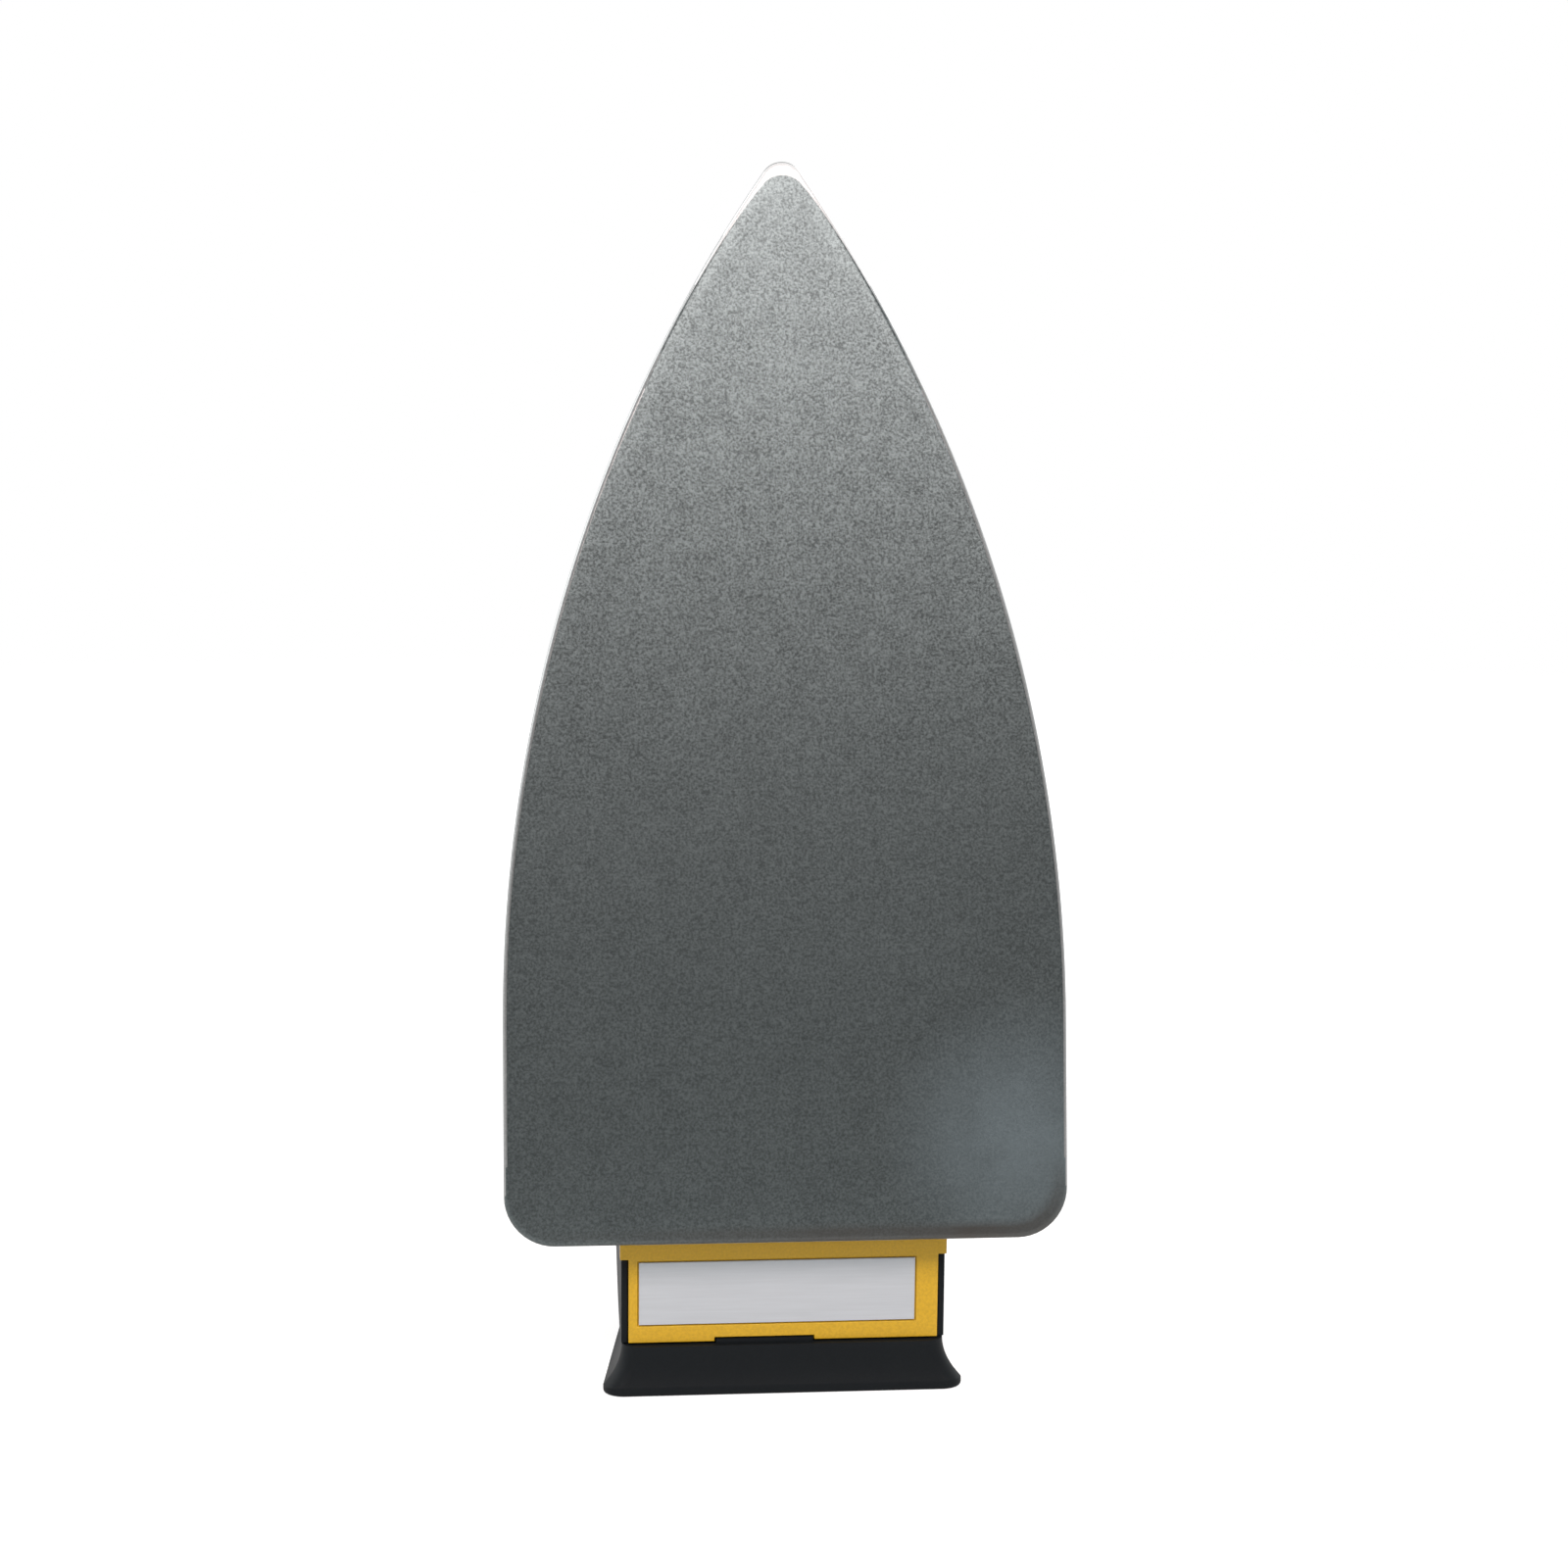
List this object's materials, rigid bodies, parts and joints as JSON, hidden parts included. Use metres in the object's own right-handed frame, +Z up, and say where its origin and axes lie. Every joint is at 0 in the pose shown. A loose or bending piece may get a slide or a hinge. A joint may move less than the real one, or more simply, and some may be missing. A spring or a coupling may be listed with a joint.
{
  "type": "dry iron",
  "caption": "Dry iron standing on its heel, with a flat pointed sole, a painted cover, a closed loop handle, a heat dial and a flared heel rest.",
  "frame": {"origin": "middle of the flat rest face under the heel rest", "axes": "+Z up as the iron stands on its heel, the sole facing -Y and leaning back 8 degrees, +X across the iron"},
  "size_m": [0.119, 0.1344, 0.2601],
  "materials": {
    "sole": "satin grey coating with fine speckle",
    "yellow_paint": "smooth semi-gloss enamel",
    "yellow_plastic": "satin moulded",
    "black_plastic": "satin moulded phenolic",
    "steel": "plain zinc plated",
    "bimetal": "rolled strip",
    "contact_spring": "rolled strip",
    "ceramic": "unglazed steatite",
    "lens": "clear red moulding",
    "lamp_glass": "clear",
    "label": "satin foil, bare",
    "sleeve": "braided glass-fibre sleeve",
    "earth_sleeve": "braided glass-fibre sleeve, green and yellow"
  },
  "bodies": {
    "iron": {"soleplate": "sole", "heating_element": "steel", "element_bead_left": "ceramic", "element_bead_right": "ceramic", "element_pin_left": "steel", "element_pin_right": "steel", "cover": "yellow_paint", "heat_shield": "steel", "shield_screw_1": "steel", "shield_screw_2": "steel", "shield_screw_3": "steel", "rear_bracket": "steel", "bracket_screw_left": "steel", "bracket_screw_right": "steel", "nose_bracket": "steel", "nose_screw": "steel", "thermostat_bridge": "steel", "bridge_screw_1": "steel", "bridge_screw_2": "steel", "set_contact_arm": "contact_spring", "ceramic_washer_1": "ceramic", "ceramic_washer_2": "ceramic", "ceramic_washer_3": "ceramic", "stack_rivet": "steel", "scale_ring": "black_plastic", "handle": "black_plastic", "handle_screw_rear_left": "steel", "handle_screw_rear_right": "steel", "handle_screw_front": "steel", "housing_screw_left": "steel", "housing_screw_right": "steel", "rear_cover": "yellow_plastic", "rating_plate": "label", "heel_rest": "black_plastic", "heel_screw_left": "steel", "heel_screw_right": "steel", "pilot_lens": "lens", "neon_lamp": "lamp_glass", "cord_bush": "black_plastic", "terminal_block": "ceramic", "terminal_screw_1": "steel", "terminal_screw_2": "steel", "terminal_screw_3": "steel", "block_screw": "steel", "cord_clamp": "steel", "clamp_screw_1": "steel", "clamp_screw_2": "steel", "supply_lead": "sleeve", "thermal_fuse": "steel", "live_lead": "sleeve", "neutral_lead": "sleeve", "element_link": "sleeve", "earth_lead": "earth_sleeve", "lamp_lead_left": "sleeve", "lamp_lead_right": "sleeve"},
    "dial": {"dial": "black_plastic", "dial_shaft": "steel"},
    "bimetal": {"bimetal_strip": "bimetal", "push_pin": "ceramic"},
    "contact_arm": {"moving_contact_arm": "contact_spring"}
  },
  "joints": [
    {"name": "dial_turn", "type": "hinge", "parent": "iron", "child": "dial", "pos_m": [0, 0.01938, 0.13193], "axis": [0, 0.9903, -0.1392], "range_deg": [0, 300]},
    {"name": "bimetal_bend", "type": "hinge", "parent": "iron", "child": "bimetal", "pos_m": [0, -0.0167, 0.10873], "axis": [-1, 0, 0], "range_deg": [0, 2], "stiffness_Nm_per_rad": 0.5},
    {"name": "contact_open", "type": "hinge", "parent": "iron", "child": "contact_arm", "pos_m": [0, -0.01032, 0.10783], "axis": [-1, 0, 0], "range_deg": [0, 2], "stiffness_Nm_per_rad": 0.2}
  ],
  "couplings": [
    {"joint": "contact_open", "follows": "bimetal_bend", "ratio": 1}
  ]
}
